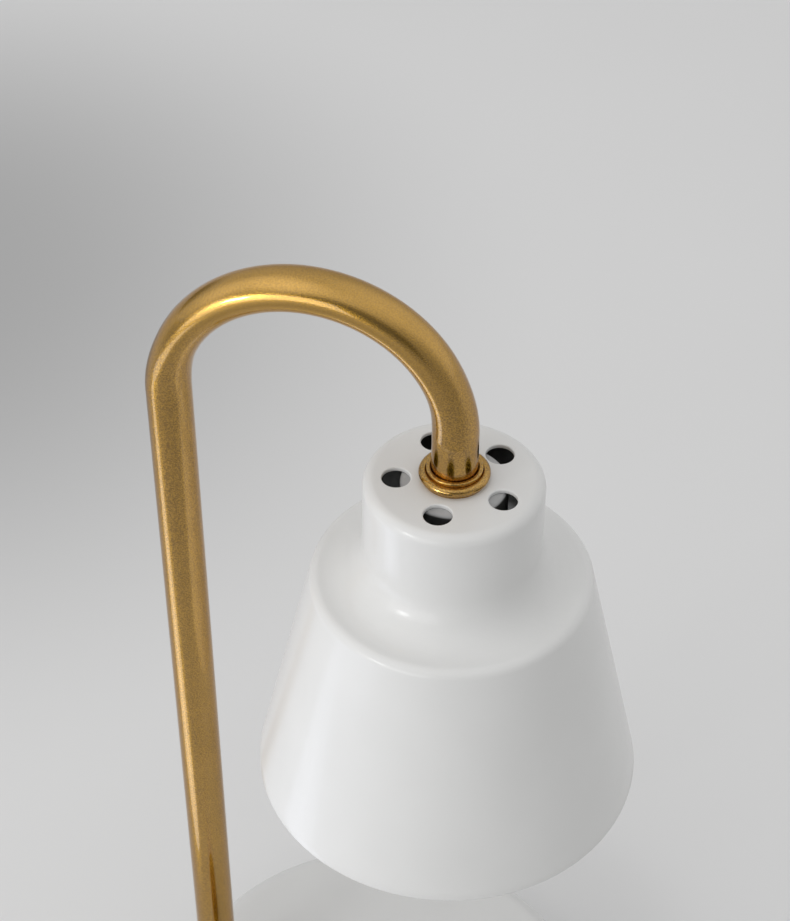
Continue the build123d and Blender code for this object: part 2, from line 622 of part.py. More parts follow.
# ---------------------------------------------------------------- lampholder
def holder_cup():
    cup = rounded_disc(CUP_R, CUP_LOW, CUP_TOP, CUP_EDGE, SHADE_X)
    cup -= rounded_disc(CUP_R - CUP_T, CUP_LOW - THROUGH, CUP_TOP - CUP_T, CUP_EDGE - CUP_T, SHADE_X)
    cup -= disc(HOLE_R, CUP_TOP - CUP_T - THROUGH, CUP_TOP + THROUGH, SHADE_X)
    return cup - radial(level(Circle(M3_R), HOLDER_SCREW_Z, -2 * CUP_R, 2 * CUP_R), 0, SHADE_X)


def lampholder():
    """Ceramic holder with two bayonet tracks, lead holes and tapped side holes."""
    ceramic = disc(CERAMIC_R, CERAMIC_LOW, CERAMIC_TOP)
    ceramic = fillet(edges_at(ceramic, CERAMIC_LOW), HOLDER_EDGE)
    head_r, neck_r = PIN_HEAD_R + PIN_GAP, PIN_NECK_R + PIN_GAP
    for start in TRACK_STARTS:
        track = CenterArc((0, 0, 0), PIN_PCR, start, TWIST)
        ceramic -= Pos(0, 0, TRACK_Z) * extrude(SlotArc(track, 2 * head_r), CAVITY_H)
        ceramic -= Pos(0, 0, CERAMIC_LOW - THROUGH) * extrude(SlotArc(track, 2 * neck_r), LIP_T + THROUGH)
        ceramic -= Rot(0, 0, start + TWIST) * disc(head_r, CERAMIC_LOW - THROUGH, TRACK_Z, PIN_PCR)
        ceramic -= Rot(0, 0, start) * disc(LEAD_R + FREE, TRACK_TOP - THROUGH, CERAMIC_TOP + THROUGH, PIN_PCR)
    side_hole = level(Circle(M3_R), HOLDER_SCREW_Z, CERAMIC_R - M3_LEN, CERAMIC_R + THROUGH)
    for angle in (0, 180):
        ceramic -= radial(side_hole, angle)
    return Pos(SHADE_X, 0, 0) * ceramic


def holder_clips():
    low = TRACK_TOP - CLIP_T
    return Compound([block(CLIP_W, CLIP_D, low, TRACK_TOP, SHADE_X, side * PIN_PCR) for side in (-1, 1)])


def holder_screws():
    """Two screws through the cup's wall into the ceramic."""
    head_r = CUP_R + HEAD_GAP
    screw = level(Circle(M3_R - FIT), HOLDER_SCREW_Z, CERAMIC_R - M3_LEN + M3_ROOM, head_r)
    screw += level(Circle(M3_HEAD_R), HOLDER_SCREW_Z, head_r, head_r + M3_HEAD_T)
    slot_low = head_r + M3_HEAD_T - SLOT_DEPTH
    screw -= level(Rectangle(SLOT_W, 3 * M3_HEAD_R), HOLDER_SCREW_Z, slot_low, head_r + M3_HEAD_T + THROUGH)
    return Compound([radial(screw, a, SHADE_X) for a in (0, 180)])


# ---------------------------------------------------------------- bulb
BULB_AT = Pos(SHADE_X, 0, 0)


def bulb_base():
    edge_r = BULB_BASE_R - BULB_BASE_EDGE
    stub = turned([(0, BULB_TOP), (edge_r, BULB_TOP), (BULB_BASE_R, BULB_TOP - BULB_BASE_EDGE),
                   (BULB_BASE_R, STUB_LOW), (0, STUB_LOW)])
    leg_top = STUB_LOW + FILAMENT_ROOT + FILAMENT_ROOM
    for side in (-1, 1):
        stub -= disc(PIN_NECK_R + FIT, BULB_TOP - PIN_ROOT, BULB_TOP + THROUGH, 0, side * PIN_PCR)
        stub -= disc(FILAMENT_R + FIT, STUB_LOW - THROUGH, leg_top, 0, side * FILAMENT_HALF)
    return BULB_AT * stub


def bulb_pins():
    head_z = BULB_TOP + PIN_NECK_H
    pin = disc(PIN_NECK_R, BULB_TOP - PIN_ROOT, head_z)
    pin += rounded_disc(PIN_HEAD_R, head_z, head_z + PIN_HEAD_H, PIN_EDGE)
    return Compound([BULB_AT * Pos(0, side * PIN_PCR, 0) * pin for side in (-1, 1)])


def bulb_reflector():
    """Bell-shaped glass: skirt round the base, flared wall, straight rim, and a floor with a throat."""
    inner_r, outer_r = BULB_BASE_R + FIT, BULB_BASE_R + FIT + BULB_WALL
    skirt_top, floor_z, rim_top = STUB_LOW + BULB_SKIRT, STUB_LOW - BULB_WALL, BULB_LOW + BULB_RIM
    throat_r, rim_r = CAPSULE_R + THROAT_GAP, BULB_R - BULB_WALL
    slopes = [(FLARE_TOP, 0, -1), (FLARE_LOW, 0, -1)]
    outside = [(inner_r, 0, skirt_top), (outer_r, 0, skirt_top), (outer_r, 0, STUB_LOW)]
    mouth = [(BULB_R, 0, rim_top), (BULB_R, 0, BULB_LOW), (rim_r, 0, BULB_LOW), (rim_r, 0, rim_top)]
    inside = [(inner_r, 0, floor_z), (throat_r, 0, floor_z), (throat_r, 0, STUB_LOW), (inner_r, 0, STUB_LOW)]
    edges = [Line(a, b) for run in (outside, mouth, inside) for a, b in zip(run, run[1:])]
    edges += [Spline(outside[-1], mouth[0], tangents=slopes), Spline(inside[0], mouth[-1], tangents=slopes)]
    edges.append(Line(inside[-1], outside[0]))
    return BULB_AT * revolve(make_face(edges), Axis.Z, 360)


def bulb_lens():
    low = BULB_LOW + LENS_SINK
    return disc(BULB_R - BULB_WALL - FIT, low, low + LENS_T, SHADE_X)


CAPSULE_TOP = STUB_LOW - CAPSULE_GAP
CAPSULE_LOW = CAPSULE_TOP - CAPSULE_H
GAS_LOW, GAS_TOP = CAPSULE_LOW + CAPSULE_WALL, CAPSULE_TOP - PINCH_H


def bulb_capsule():
    """Closed glass tube with a rounded tip, gas space and two holes for the filament's legs."""
    capsule = disc(CAPSULE_R, CAPSULE_LOW, CAPSULE_TOP)
    capsule = fillet(edges_at(capsule, CAPSULE_LOW), CAPSULE_R - CAPSULE_TIP)
    gas_r = CAPSULE_R - CAPSULE_WALL
    gas = disc(gas_r, GAS_LOW, GAS_TOP)
    capsule -= fillet(edges_at(gas, GAS_LOW), gas_r - CAPSULE_TIP)
    for side in (-1, 1):
        capsule -= disc(FILAMENT_R + FIT, GAS_TOP - THROUGH, CAPSULE_TOP + THROUGH, 0, side * FILAMENT_HALF)
    return BULB_AT * capsule


def bulb_filament():
    coil_z, leg_top = (GAS_LOW + GAS_TOP) / 2, STUB_LOW + FILAMENT_ROOT
    run = [(-FILAMENT_HALF, leg_top), (-FILAMENT_HALF, coil_z), (FILAMENT_HALF, coil_z), (FILAMENT_HALF, leg_top)]
    return wire([(SHADE_X, y, z) for y, z in run], FILAMENT_R, FILAMENT_BEND)


# ---------------------------------------------------------------- wiring held inside the lamp
def from_block(way):
    """First points of a lead clamped in one way of the terminal block."""
    x, face_y = way * WAY_PITCH / 2, BLOCK_Y - BLOCK_D / 2
    points = [(x, face_y + LEAD_GRIP, WAY_Z), (x, face_y - LEAD_GRIP, WAY_Z)]
    return points + [(x, face_y - LEAD_GRIP - RUN_SLOPE, WIRE_Z)]


def from_tab(offset):
    """First points of a lead on one of the dimmer's tabs."""
    at = (KNOB_FRAME * Pos(offset, 0, 0)).position
    return [(at.X, at.Y, WEIGHT_Z - FIT), (at.X, at.Y, WIRE_Z)]


def tube_lead(start, side):
    """Lead from its start in the base, up the post, over the bend and down to the holder."""
    y, y_pin, low = side * LEAD_HALF, side * PIN_PCR, TOP_END - BUSH_LIP - SPLAY_DROP
    rise = [(POST_X + POST_RUN, y, WIRE_Z), (POST_X, y, WIRE_Z), (POST_X, y, SPRING_Z)]
    up = FilletPolyline(*start, *rise, radius=LEAD_BEND)
    bend_plane = Plane(origin=(BEND_X, y, SPRING_Z), x_dir=(-1, 0, 0), z_dir=(0, 1, 0))
    over = Edge.make_circle(BEND_R, bend_plane, 0, 180)
    down = Line((SHADE_X, y, SPRING_Z), (SHADE_X, y, low))
    splay = Spline((SHADE_X, y, low), (SHADE_X, y_pin, CERAMIC_TOP), tangents=[(0, 0, -1), (0, 0, -1)])
    end = Line((SHADE_X, y_pin, CERAMIC_TOP), (SHADE_X, y_pin, TRACK_TOP + FIT))
    path = Wire([*up.edges(), over, *down.edges(), *splay.edges(), *end.edges()])
    section = Plane(origin=path @ 0, z_dir=path % 0) * Circle(LEAD_R)
    return sweep(section, path=path)


def lead_neutral():
    return tube_lead(from_block(-1), 1)


def lead_switched():
    return tube_lead(from_tab(0.0), -1)


def lead_feed():
    return wire(from_block(1) + from_tab(-TAB_PITCH)[::-1], LEAD_R, LEAD_BEND)


PIECES = [
    base_cover, base_weight, bottom_plate, bottom_screws, base_pad, cord_gland,
    dimmer_body, dimmer_tabs, dimmer_bush, dimmer_washer, dimmer_nut, dimmer_shaft, knob, knob_screw,
    terminal_block, terminal_inserts, terminal_screws, terminal_fixing_screw,
    bent_tube, foot_flange, foot_stem, foot_washer, foot_nut, foot_bush,
    shade_collar, shade_stem, lock_washer, shade_nut, shade_bush, shade,
    holder_cup, lampholder, holder_clips, holder_screws,
    bulb_base, bulb_pins, bulb_reflector, bulb_lens, bulb_capsule, bulb_filament,
    lead_neutral, lead_switched, lead_feed,
]
for piece in PIECES:
    export_step(piece(), f"parts/{piece.__name__}.step")
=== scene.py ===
import json
from math import atan2, cos, degrees, hypot, pi, radians, sin, tan

import bmesh
import bpy
from mathutils import Matrix, Vector

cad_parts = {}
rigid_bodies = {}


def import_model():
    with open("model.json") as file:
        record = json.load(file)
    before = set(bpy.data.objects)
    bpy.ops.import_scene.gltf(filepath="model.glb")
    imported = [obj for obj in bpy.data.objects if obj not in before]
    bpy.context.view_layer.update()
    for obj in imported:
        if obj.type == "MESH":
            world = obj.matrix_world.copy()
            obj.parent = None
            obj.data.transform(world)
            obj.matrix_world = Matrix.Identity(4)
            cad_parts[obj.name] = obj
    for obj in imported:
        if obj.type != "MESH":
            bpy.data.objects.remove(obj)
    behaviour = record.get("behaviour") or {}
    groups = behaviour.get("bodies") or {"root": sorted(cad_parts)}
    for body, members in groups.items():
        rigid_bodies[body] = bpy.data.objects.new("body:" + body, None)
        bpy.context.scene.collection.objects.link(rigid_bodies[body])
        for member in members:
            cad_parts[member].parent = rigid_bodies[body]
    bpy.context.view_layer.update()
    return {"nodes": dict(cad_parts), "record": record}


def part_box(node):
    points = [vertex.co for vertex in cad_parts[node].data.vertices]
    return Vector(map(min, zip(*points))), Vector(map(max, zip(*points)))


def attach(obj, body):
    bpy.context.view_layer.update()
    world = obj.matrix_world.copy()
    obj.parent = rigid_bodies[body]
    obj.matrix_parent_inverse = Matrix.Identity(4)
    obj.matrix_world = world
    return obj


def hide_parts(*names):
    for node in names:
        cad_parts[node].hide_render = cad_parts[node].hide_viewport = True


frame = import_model()

# ------------------------------------------------------------------ sizes, metres
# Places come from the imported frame; sections and small details are set here.


def centre_xy(node):
    low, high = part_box(node)
    return (low[0] + high[0]) / 2, (low[1] + high[1]) / 2


def half_width(node):
    low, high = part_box(node)
    return (high[0] - low[0]) / 2


SHADE_X = centre_xy("shade")[0]
PLATE_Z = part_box("shade")[1][2]         # the shade's flat top
POST_X = centre_xy("foot_flange")[0]
BEND_R = (SHADE_X - POST_X) / 2
TUBE_FOOT, TUBE_TOP = (corner[2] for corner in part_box("bent_tube"))
CUP_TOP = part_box("holder_cup")[1][2]

TUBE_R = 0.006
TUBE_WALL = 0.001
TUBE_SEAT = 0.0008                      # the tube ends this far above the shade's top, inside the collar
OVAL = 0.10                             # how much the bend flattens the tube
OVAL_RUN = radians(25)                  # part of the bend at either end in which the flattening sets in
SPRING_Z = TUBE_TOP - BEND_R - TUBE_R * (1 - OVAL)

SHADE_T = 0.0012
CROWN_R = 0.0235
CROWN_EDGE = 0.003
NECK_DROP = 0.0215
COVE_R = 0.0115
SHOULDER_EDGE = 0.003
MOUTH_R = 0.0535
SHADE_H = 0.104
HEM_R = 0.0011
STEM_HOLE_R = 0.00525
VENT_COUNT = 5
VENT_R = 0.0037
VENT_PHASE = radians(194)
HOLE_EDGE = 0.0004                      # rounding of a hole's upper edge; the lower one has half of it
SUPPORT = 0.00006                       # width of the flat strip that keeps a rounded edge's shading to itself
COLLAR_R = 0.0092
VENT_PCR = (COLLAR_R + CROWN_R - CROWN_EDGE) / 2        # radius of the circle that the vents lie on

BULB_WALL = 0.0015
FACETS = 40                             # round the reflector
FACET_RINGS = 10

# Heights between which a look changes
NECK_PAINTED_SHADE = (0.222, 0.236)              # inside the shade, from white paint to near-black painted shade up in the neck
CUP_SHADE_EDGE = (CUP_TOP - 0.0008, CUP_TOP - 0.0004)         # from the painted shade on the cup's wall to its light grey top
POST_GRAIN = (0.19, 0.24)               # from the fainter grain of the lower post to the stronger one above
BEND_GRAIN = (0.288, 0.312)             # from full grain to the faint grain on top of the bend

# ------------------------------------------------------------------ camera
CAM_TURN = radians(13.24)               # camera's azimuth, right of straight in front
CAM_TILT = radians(41.29)               # looking down
CAM_RANGE = 0.5327                      # camera to the shade's top, along its axis
CAM_RIGHT, CAM_UP = -0.0151, 0.00416    # the axis passes this far beside the middle of the shade's top
CAM_ROLL = radians(0.233)
CAM_NEAR = 0.01
FOCAL_PX = 2096.5
FRAME_PX = 921                          # the picture's height
SENSOR_MM = 36.0


def camera_axes():
    back = Vector((sin(CAM_TURN) * cos(CAM_TILT), -cos(CAM_TURN) * cos(CAM_TILT), sin(CAM_TILT)))
    right = Vector((cos(CAM_TURN), sin(CAM_TURN), 0))
    up = back.cross(right)
    turn = Matrix.Rotation(CAM_ROLL, 3, back)
    return back, turn @ right, turn @ up


def add_camera():
    back, right, up = camera_axes()
    data = bpy.data.cameras.new("camera")
    data.sensor_width = SENSOR_MM
    data.lens = FOCAL_PX * SENSOR_MM / FRAME_PX
    data.clip_start = CAM_NEAR
    cam = bpy.data.objects.new("camera", data)
    place = Vector((SHADE_X, 0, PLATE_Z)) + back * CAM_RANGE + right * CAM_RIGHT + up * CAM_UP
    basis = Matrix((right, up, back)).transposed().to_4x4()
    cam.matrix_world = Matrix.Translation(place) @ basis
    bpy.context.scene.collection.objects.link(cam)
    bpy.context.scene.camera = cam


# ------------------------------------------------------------------ mesh helpers
ON_AXIS = 1e-7                          # a smaller radius is a point on the axis


def finish_mesh(name, bm, material, body, replaces, crease=35):
    """Turn a bmesh into a smooth-shaded piece that rides on a body and stands for CAD nodes."""
    bmesh.ops.recalc_face_normals(bm, faces=bm.faces)
    mesh = bpy.data.meshes.new(name)
    bm.to_mesh(mesh)
    bm.free()
    mesh.shade_smooth()
    mesh.set_sharp_from_angle(angle=radians(crease))
    mesh.materials.append(material)
    piece = bpy.data.objects.new(name, mesh)
    bpy.context.scene.collection.objects.link(piece)
    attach(piece, body)
    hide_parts(*replaces)
    return piece


def arc(cr, cz, r, start, end, steps):
    """Points of an arc in the (radius, height) half plane, angles in degrees."""
    turn = [radians(start + (end - start) * i / steps) for i in range(steps + 1)]
    return [(cr + r * cos(a), cz + r * sin(a)) for a in turn]


def tidy_outline(points, least=2e-6):
    """Drop points that sit on their neighbour."""
    kept = [points[0]]
    for p in points[1:]:
        if hypot(p[0] - kept[-1][0], p[1] - kept[-1][1]) > least:
            kept.append(p)
    return kept


def join_rings(bm, a, b):
    """Quads between two rings of equally many vertices."""
    for k in range(len(a)):
        n = (k + 1) % len(a)
        bm.faces.new((a[k], a[n], b[n], b[k]))


def add_rings(bm, outline, x, y, around, closed=True):
    """Skin an outline of (radius, height) points turned about the vertical through x, y."""
    rings = []
    step = 2 * pi / around
    for r, z in outline:
        if r < ON_AXIS:
            rings.append([bm.verts.new((x, y, z))])
        else:
            rings.append([bm.verts.new((x + r * cos(step * k), y + r * sin(step * k), z)) for k in range(around)])
    pairs = list(zip(rings, rings[1:]))
    if closed:
        pairs.append((rings[-1], rings[0]))
    for a, b in pairs:
        for k in range(around):
            n = (k + 1) % around
            corners = [a[k % len(a)], a[n % len(a)], b[n % len(b)], b[k % len(b)]]
            corners = list(dict.fromkeys(corners))
            if len(corners) > 2:
                bm.faces.new(corners)
    return rings


def turned(name, outline, x, y, material, body, replaces, around, crease=35):
    """Piece of revolution whose outline is closed or runs from axis to axis."""
    bm = bmesh.new()
    outline = tidy_outline(outline)
    on_axis = outline[0][0] < ON_AXIS and outline[-1][0] < ON_AXIS
    add_rings(bm, outline, x, y, around, closed=not on_axis)
    return finish_mesh(name, bm, material, body, replaces, crease)


# ------------------------------------------------------------------ material helpers
NOISE_LOW, NOISE_HIGH = 0.3, 0.7        # most of a noise's values lie between these
MIX_FACTOR, MIX_A, MIX_B, MIX_RESULT = 0, 6, 7, 2       # sockets of a colour mix


class Nodes:
    """Short names for building a node material."""

    def __init__(self, name):
        self.mat = bpy.data.materials.new(name)
        self.mat.use_nodes = True
        self.tree = self.mat.node_tree
        self.bsdf = self.tree.nodes["Principled BSDF"]
        self.place = self.add("ShaderNodeTexCoord").outputs["Object"]

    def add(self, kind, **values):
        node = self.tree.nodes.new(kind)
        for key, value in values.items():
            setattr(node, key, value)
        return node

    def link(self, a, b):
        self.tree.links.new(a, b)

    def set(self, socket, value):
        self.bsdf.inputs[socket].default_value = value

    def axis(self, letter):
        """One of the object coordinates, in metres."""
        node = self.add("ShaderNodeSeparateXYZ")
        self.link(self.place, node.inputs["Vector"])
        return node.outputs[letter]

    def noise(self, scale, detail, rough=0.5):
        node = self.add("ShaderNodeTexNoise")
        node.inputs["Scale"].default_value = scale
        node.inputs["Detail"].default_value = detail
        node.inputs["Roughness"].default_value = rough
        self.link(self.place, node.inputs["Vector"])
        return node.outputs["Fac"]

    def spread(self, fac, low, high, start=NOISE_LOW, stop=NOISE_HIGH, way="LINEAR"):
        """Map a factor onto a range of numbers."""
        node = self.add("ShaderNodeMapRange", interpolation_type=way)
        for key, value in (("From Min", start), ("From Max", stop), ("To Min", low), ("To Max", high)):
            node.inputs[key].default_value = value
        self.link(fac, node.inputs["Value"])
        return node.outputs["Result"]

    def tint(self, fac, low, high, start=NOISE_LOW, stop=NOISE_HIGH):
        """Map a factor onto the colours between two."""
        node = self.add("ShaderNodeValToRGB")
        for element, at, colour in zip(node.color_ramp.elements, (start, stop), (low, high)):
            element.position = at
            element.color = (*colour, 1)
        self.link(fac, node.inputs["Fac"])
        return node.outputs["Color"]

    def math(self, operation, a, b):
        node = self.add("ShaderNodeMath", operation=operation)
        for socket, value in zip(node.inputs, (a, b)):
            if isinstance(value, (int, float)):
                socket.default_value = value
            else:
                self.link(value, socket)
        return node.outputs[0]

    def mix(self, factor, a, b, blend="MIX"):
        node = self.add("ShaderNodeMix", data_type="RGBA", blend_type=blend)
        for socket, source in ((MIX_FACTOR, factor), (MIX_A, a), (MIX_B, b)):
            self.link(source, node.inputs[socket])
        return node.outputs[MIX_RESULT]

    def bump(self, height, distance, strength):
        node = self.add("ShaderNodeBump")
        node.inputs["Distance"].default_value = distance
        node.inputs["Strength"].default_value = strength
        self.link(height, node.inputs["Height"])
        return node.outputs["Normal"]

    def colour(self, source):
        self.link(source, self.bsdf.inputs["Base Color"])

    def roughness(self, source):
        self.link(source, self.bsdf.inputs["Roughness"])

    def normal(self, source):
        self.link(source, self.bsdf.inputs["Normal"])


# ------------------------------------------------------------------ materials
def brass_material():
    """Satin brass under lacquer, with a fine grain that is fainter low on the post and on top of the bend."""
    n = Nodes("satin_brass")
    drift = n.noise(60, 2)
    grain = n.noise(2600, 2, 0.7)
    tone = n.tint(drift, (0.563, 0.312, 0.035), (0.621, 0.347, 0.046))
    speck = n.tint(grain, (0.42, 0.38, 0.28), (1.0, 1.0, 1.0), 0.38, 0.61)
    height = n.axis("Z")
    post = n.spread(height, 0.75, 0.92, *POST_GRAIN)
    bend = n.spread(height, 1.0, 0.38, *BEND_GRAIN)
    n.colour(n.mix(n.math("MULTIPLY", post, bend), tone, speck, "MULTIPLY"))
    n.roughness(n.spread(grain, 0.10, 0.16))
    n.normal(n.bump(grain, 0.00005, 1.0))
    n.set("Metallic", 1.0)
    n.set("Specular Tint", (0.60, 0.45, 0.25, 1))
    n.set("Coat Weight", 0.8)
    n.set("Coat IOR", 1.8)
    n.set("Coat Roughness", 0.04)
    return n.mat


def paint_material(name, tone=0.80, painted_shade_from=None):
    """White satin powder paint with a fine orange peel; given a range of heights, it turns to near-black painted
    shade above them.
    """
    n = Nodes(name)
    peel = n.noise(750, 2)
    fine = n.noise(2600, 1)
    drift = n.noise(35, 2)
    look = n.tint(drift, (tone * 0.97, tone * 0.97, tone * 0.957), (tone, tone, tone * 0.988))
    if painted_shade_from:
        # near-black colour painted in as the shade deep in the shade's neck
        painted_shade_colour = n.tint(n.noise(240, 3), (0.020, 0.020, 0.018), (0.040, 0.039, 0.035))
        look = n.mix(n.spread(n.axis("Z"), 0.0, 1.0, *painted_shade_from), look, painted_shade_colour)
    n.colour(look)
    n.roughness(n.spread(fine, 0.42, 0.52))
    n.normal(n.bump(n.math("ADD", peel, n.math("MULTIPLY", fine, 0.35)), 0.00003, 0.6))
    n.set("Specular IOR Level", 0.25)
    n.set("Coat Weight", 0.5)
    n.set("Coat Roughness", 0.16)
    return n.mat


def steel_material(name, tone=0.55, rough=0.3):
    """Plated or drawn metal with a cloudy finish."""
    n = Nodes(name)
    cloud = n.noise(180, 3)
    grain = n.noise(2200, 2, 0.7)
    dark, light = tone * 0.86, tone * 1.08
    n.colour(n.tint(cloud, (dark, dark, dark * 1.02), (light, light, light * 0.99)))
    n.roughness(n.spread(grain, rough * 0.85, rough * 1.3))
    n.normal(n.bump(grain, 0.00001, 0.8))
    n.set("Metallic", 1.0)
    return n.mat


def cup_material():
    """Grey primer with a fine sandy texture: light grey on the cup's top, its wall painted near-black as shade."""
    n = Nodes("grey_primer_painted_shade")
    sand = n.noise(2600, 2, 0.6)
    cloud = n.noise(160, 2)
    # near-black painted shade on the cup's wall, under the shade's top
    wall = n.tint(cloud, (0.03, 0.03, 0.028), (0.055, 0.054, 0.05))
    top = n.tint(cloud, (0.36, 0.36, 0.36), (0.46, 0.46, 0.46))
    n.colour(n.mix(n.spread(n.axis("Z"), 0.0, 1.0, *CUP_SHADE_EDGE), wall, top))
    n.roughness(n.spread(sand, 0.5, 0.65))
    n.normal(n.bump(sand, 0.00004, 0.8))
    return n.mat


def cast_material():
    """Raw casting with pits."""
    n = Nodes("cast_iron")
    pits = n.noise(900, 4, 0.7)
    cloud = n.noise(70, 3)
    n.colour(n.tint(cloud, (0.045, 0.045, 0.048), (0.085, 0.083, 0.082)))
    n.roughness(n.spread(pits, 0.55, 0.8))
    n.normal(n.bump(pits, 0.0002, 0.8))
    n.set("Metallic", 0.6)
    return n.mat


def foam_material():
    """Closed-cell foam."""
    n = Nodes("foam")
    node = n.add("ShaderNodeTexVoronoi")
    node.inputs["Scale"].default_value = 1500
    n.link(n.place, node.inputs["Vector"])
    cells = node.outputs["Distance"]
    n.colour(n.tint(cells, (0.012, 0.012, 0.012), (0.032, 0.032, 0.033), 0.1))
    n.roughness(n.spread(cells, 0.8, 0.95, 0.0))
    n.normal(n.bump(cells, 0.0002, 0.7))
    return n.mat


def plastic_material(name, dark, light, rough=0.45):
    """Moulded plastic with a spark-eroded texture."""
    n = Nodes(name)
    texture = n.noise(2400, 2, 0.6)
    n.colour(n.tint(n.noise(50, 2), dark, light))
    n.roughness(n.spread(texture, rough * 0.85, rough * 1.2))
    n.normal(n.bump(texture, 0.00003, 0.7))
    return n.mat


def ceramic_material():
    """Unglazed fired ceramic with fine speckles."""
    n = Nodes("ceramic")
    speckle = n.noise(1400, 3, 0.6)
    cloud = n.noise(80, 2)
    blend = n.math("ADD", cloud, n.math("MULTIPLY", speckle, 0.25))
    n.colour(n.tint(blend, (0.66, 0.60, 0.50), (0.80, 0.76, 0.68), 0.45, 0.8))
    n.roughness(n.spread(speckle, 0.5, 0.7))
    n.normal(n.bump(speckle, 0.00005, 0.6))
    n.set("Subsurface Weight", 0.05)
    n.set("Subsurface Radius", (0.002, 0.0015, 0.001))
    return n.mat


def glass_material(name, tint, rough):
    """Pressed glass with faint ripples."""
    n = Nodes(name)
    ripple = n.noise(400, 2)
    n.colour(n.tint(ripple, tint, tuple(min(1, v * 1.03) for v in tint)))
    n.roughness(n.spread(ripple, rough * 0.7, rough * 1.4))
    n.normal(n.bump(ripple, 0.00004, 0.4))
    n.set("Transmission Weight", 1.0)
    n.set("IOR", 1.47)
    return n.mat


def mirror_material():
    """Glass with a dichroic mirror coating."""
    n = Nodes("reflector_glass")
    stain = n.noise(160, 2)
    n.colour(n.tint(stain, (0.72, 0.71, 0.70), (0.82, 0.80, 0.78)))
    n.roughness(n.spread(stain, 0.08, 0.16))
    n.normal(n.bump(stain, 0.00003, 0.4))
    n.set("Metallic", 0.85)
    return n.mat


def sleeve_material(name, colour):
    """Silicone sleeve with a faint grain."""
    n = Nodes(name)
    grain = n.noise(1500, 2)
    n.colour(n.tint(grain, tuple(v * 0.85 for v in colour), colour))
    n.roughness(n.spread(grain, 0.45, 0.6))
    n.normal(n.bump(grain, 0.00003, 0.5))
    return n.mat


BRASS = brass_material()
PAINT = paint_material("white_paint")
# the shade's inner skin: white paint with painted shade up in the neck
INSIDE_PAINT_AND_SHADE = paint_material("white_paint_inside_painted_shade", painted_shade_from=NECK_PAINTED_SHADE)
CLEAR = glass_material("clear_glass", (0.94, 0.96, 0.96), 0.05)
MIRROR = mirror_material()

SLOT_LOOKS = {
    "white_paint": PAINT,
    "brass": BRASS,
    "steel": steel_material("zinc_steel"),
    "nickel": steel_material("nickel_plate", 0.68, 0.16),
    "tungsten": steel_material("tungsten_wire", 0.3, 0.4),
    "cast_iron": cast_material(),
    "foam": foam_material(),
    "gland_plastic": plastic_material("gland_plastic", (0.62, 0.61, 0.58), (0.68, 0.67, 0.64)),
    "black_plastic": plastic_material("black_plastic", (0.018, 0.018, 0.019), (0.03, 0.03, 0.031)),
    "clear_nylon": plastic_material("natural_nylon", (0.66, 0.65, 0.58), (0.74, 0.73, 0.66), 0.4),
    "ceramic": ceramic_material(),
    "glass": CLEAR,
    "mirror_glass": MIRROR,
    "silicone_white": sleeve_material("white_sleeve", (0.70, 0.68, 0.64)),
    "silicone_brown": sleeve_material("brown_sleeve", (0.14, 0.06, 0.03)),
}
# the base cover gets a darker copy of the white paint, tone 0.72 against the shade's 0.80
NODE_LOOKS = {"holder_cup": cup_material(), "base_cover": paint_material("white_paint_base", 0.72)}


def dress_nodes():
    """Give every CAD node the look of its material slot, or its own."""
    slots = {part["node"]: part["material_slot"] for part in frame["record"]["subparts"]}
    for name, node in frame["nodes"].items():
        look = NODE_LOOKS.get(name, SLOT_LOOKS[slots[name]])
        for mesh in [o.data for o in (node, *node.children_recursive) if o.type == "MESH"]:
            if not mesh.materials:
                mesh.materials.append(look)
            for i in range(len(mesh.materials)):
                mesh.materials[i] = look


# ------------------------------------------------------------------ bent tube
POST_STEPS, BEND_STEPS, DROP_STEPS = 40, 144, 8


def tube_stations():
    """Places along the tube: centre, tangent and how far the section is flattened."""
    up, down = Vector((0, 0, 1)), Vector((0, 0, -1))
    end = PLATE_Z + TUBE_SEAT
    stations = []
    for i in range(POST_STEPS):
        z = TUBE_FOOT + (SPRING_Z - TUBE_FOOT) * i / POST_STEPS
        stations.append((Vector((POST_X, 0, z)), up, 0.0))
    for i in range(BEND_STEPS + 1):
        a = pi - pi * i / BEND_STEPS
        t = min(1.0, sin(a) / sin(OVAL_RUN))
        place = Vector((POST_X + BEND_R + BEND_R * cos(a), 0, SPRING_Z + BEND_R * sin(a)))
        stations.append((place, Vector((sin(a), 0, -cos(a))), OVAL * t * t * (3 - 2 * t)))
    for i in range(1, DROP_STEPS + 1):
        z = SPRING_Z + (end - SPRING_Z) * i / DROP_STEPS
        stations.append((Vector((SHADE_X, 0, z)), down, 0.0))
    return stations


def skin_tube(bm, stations, radius, around=96):
    """Rings round the stations, flattened in the plane of the bend, and the skin between them."""
    side = Vector((0, 1, 0))
    rings = []
    for place, tangent, oval in stations:
        out = side.cross(tangent)
        ring = []
        for k in range(around):
            a = 2 * pi * k / around
            offset = side * (radius * (1 + oval) * cos(a)) + out * (radius * (1 - oval) * sin(a))
            ring.append(bm.verts.new(place + offset))
        rings.append(ring)
    for a, b in zip(rings, rings[1:]):
        join_rings(bm, a, b)
    return rings


def bent_tube():
    bm = bmesh.new()
    stations = tube_stations()
    outer = skin_tube(bm, stations, TUBE_R)
    inner = skin_tube(bm, stations, TUBE_R - TUBE_WALL)
    join_rings(bm, outer[0], inner[0])
    join_rings(bm, outer[-1], inner[-1])
    return finish_mesh("tube", bm, BRASS, "lamp", ["bent_tube"])


# ------------------------------------------------------------------ shade
EDGE_STEPS, NECK_STEPS, COVE_STEPS, CONE_STEPS = 14, 10, 28, 30


